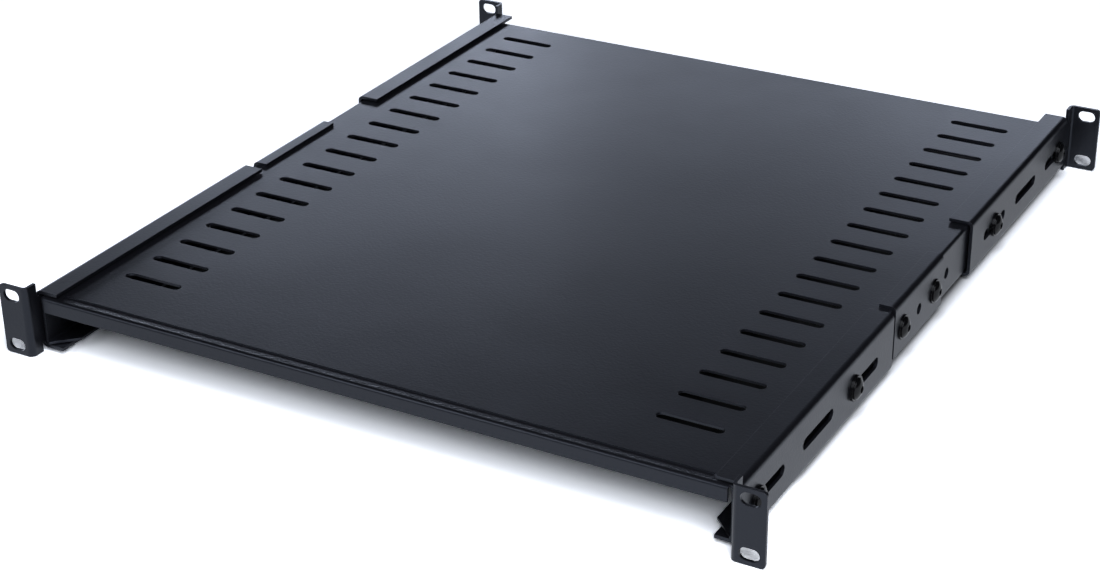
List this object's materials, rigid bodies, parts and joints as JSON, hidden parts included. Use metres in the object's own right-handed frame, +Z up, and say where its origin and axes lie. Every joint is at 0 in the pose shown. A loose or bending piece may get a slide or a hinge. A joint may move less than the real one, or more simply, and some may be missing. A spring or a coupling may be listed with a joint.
{
  "type": "rack shelf",
  "caption": "Vented rack shelf, one rack unit high, a shallow folded tray held by slotted sliding rails with folded ears for a four-post rack.",
  "frame": {"origin": "middle of the whole box, on the level of the ears' lower edges", "axes": "+Z up, out of the tray's top; +Y to the back of the rack; +X to the right, seen from the front"},
  "size_m": [0.4826, 0.5436, 0.044],
  "materials": {
    "tray_paint": "black fine-texture powder coat",
    "rail_paint": "black fine-texture powder coat",
    "bracket_paint": "black fine-texture powder coat",
    "bolt_black": "glossy black",
    "washer_black": "glossy black",
    "spacer_zinc": "zinc plated",
    "nut_zinc": "zinc plated"
  },
  "bodies": {
    "tray": {"shelf_tray": "tray_paint", "left_bracket": "bracket_paint", "right_bracket": "bracket_paint", "front_left_clamp_bolts": "bolt_black", "front_left_washers": "washer_black", "front_left_spacers": "spacer_zinc", "front_left_nuts": "nut_zinc", "front_right_clamp_bolts": "bolt_black", "front_right_washers": "washer_black", "front_right_spacers": "spacer_zinc", "front_right_nuts": "nut_zinc", "rear_left_clamp_bolts": "bolt_black", "rear_left_washers": "washer_black", "rear_left_spacers": "spacer_zinc", "rear_left_nuts": "nut_zinc", "rear_right_clamp_bolts": "bolt_black", "rear_right_washers": "washer_black", "rear_right_spacers": "spacer_zinc", "rear_right_nuts": "nut_zinc", "left_bracket_bolts": "bolt_black", "left_bracket_washers": "washer_black", "left_bracket_nuts": "nut_zinc", "right_bracket_bolts": "bolt_black", "right_bracket_washers": "washer_black", "right_bracket_nuts": "nut_zinc"},
    "front_left_rail": {"front_left_rail": "rail_paint"},
    "front_right_rail": {"front_right_rail": "rail_paint"},
    "rear_left_rail": {"rear_left_rail": "rail_paint"},
    "rear_right_rail": {"rear_right_rail": "rail_paint"}
  },
  "joints": [
    {"name": "front_left_slide", "type": "slide", "parent": "tray", "child": "front_left_rail", "axis": [0, -1, 0], "range_m": [-0.0028, 0.0298]},
    {"name": "front_right_slide", "type": "slide", "parent": "tray", "child": "front_right_rail", "axis": [0, -1, 0], "range_m": [-0.0028, 0.0298]},
    {"name": "rear_left_slide", "type": "slide", "parent": "tray", "child": "rear_left_rail", "axis": [0, 1, 0], "range_m": [-0.0083, 0.0168]},
    {"name": "rear_right_slide", "type": "slide", "parent": "tray", "child": "rear_right_rail", "axis": [0, 1, 0], "range_m": [-0.0083, 0.0168]}
  ]
}
